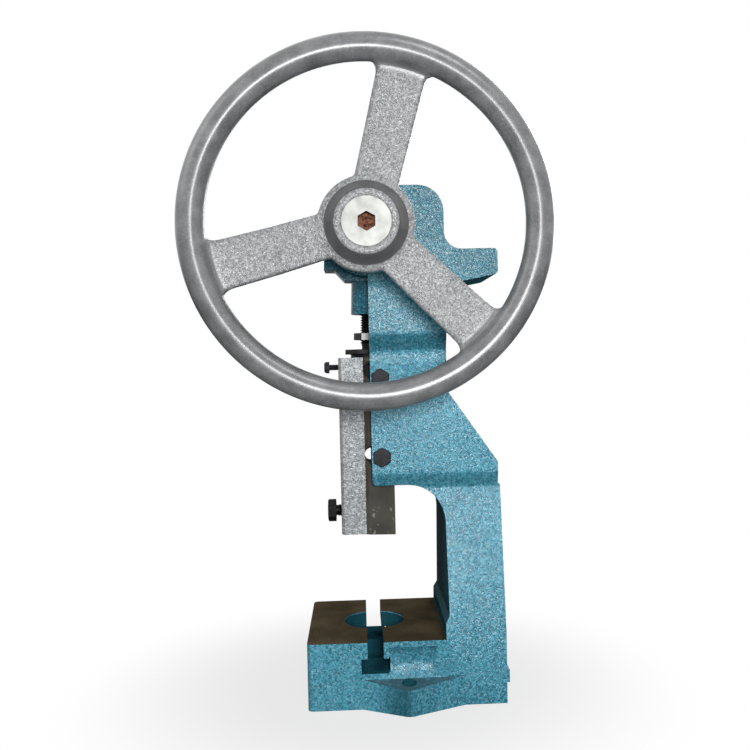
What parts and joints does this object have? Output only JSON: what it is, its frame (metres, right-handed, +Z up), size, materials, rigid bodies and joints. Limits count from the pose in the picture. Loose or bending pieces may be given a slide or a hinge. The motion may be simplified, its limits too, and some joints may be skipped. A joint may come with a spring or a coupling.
{
  "type": "grommet press",
  "caption": "Bench press for grommets and eyelets: a cast C-frame with a T-slotted table, a side handwheel, a crank and connecting rod, and a guided ram.",
  "frame": {"origin": "on the bench plane, under the axis of the ram, at the middle of the width; it is the foot of the die hole", "axes": "+Z up along the ram, -Y towards the open front of the throat, +X along the crankshaft towards the handwheel"},
  "size_m": [0.1913, 0.26, 0.482],
  "materials": {
    "blue_hammer_paint": "hammertone gloss",
    "grey_hammer_paint": "hammertone silver",
    "machined_steel": "machined, oiled",
    "bright_steel": "turned bright",
    "black_steel": "black oxide",
    "bronze": "turned"
  },
  "bodies": {
    "frame": {"frame_casting": "blue_hammer_paint", "near_bush": "bronze", "far_bush": "bronze", "gib": "machined_steel", "gib_bolts": "black_steel"},
    "crank": {"crankshaft": "machined_steel", "handwheel": "grey_hammer_paint", "wheel_key": "machined_steel", "wheel_screw": "bright_steel", "shaft_collar": "machined_steel", "collar_screw": "black_steel"},
    "rod": {"connecting_rod": "blue_hammer_paint", "rod_cap": "blue_hammer_paint", "lower_shell": "bronze", "upper_shell": "bronze", "cap_bolts": "black_steel", "ball_screw": "black_steel", "lock_nut": "black_steel"},
    "ram": {"ram": "grey_hammer_paint", "ball_seat": "machined_steel", "gland_nut": "black_steel", "gland_lock_screw": "machined_steel", "punch_clamp_bolt": "black_steel"}
  },
  "joints": [
    {"name": "crank_turn", "type": "hinge", "parent": "frame", "child": "crank", "pos_m": [0, 0, 0.352], "axis": [-1, 0, 0], "range_deg": [0, 90]},
    {"name": "rod_swing", "type": "hinge", "parent": "crank", "child": "rod", "pos_m": [0, 0.004, 0.35893], "axis": [-1, 0, 0], "range_deg": [-88, 0]},
    {"name": "ram_slide", "type": "slide", "parent": "frame", "child": "ram", "axis": [0, 0, -1], "range_m": [0, 0.0108]}
  ],
  "couplings": [
    {"joint": "rod_swing", "follows": "crank_turn", "ratio": -0.9765},
    {"joint": "ram_slide", "follows": "crank_turn", "m_per_rad": 0.0068728}
  ]
}
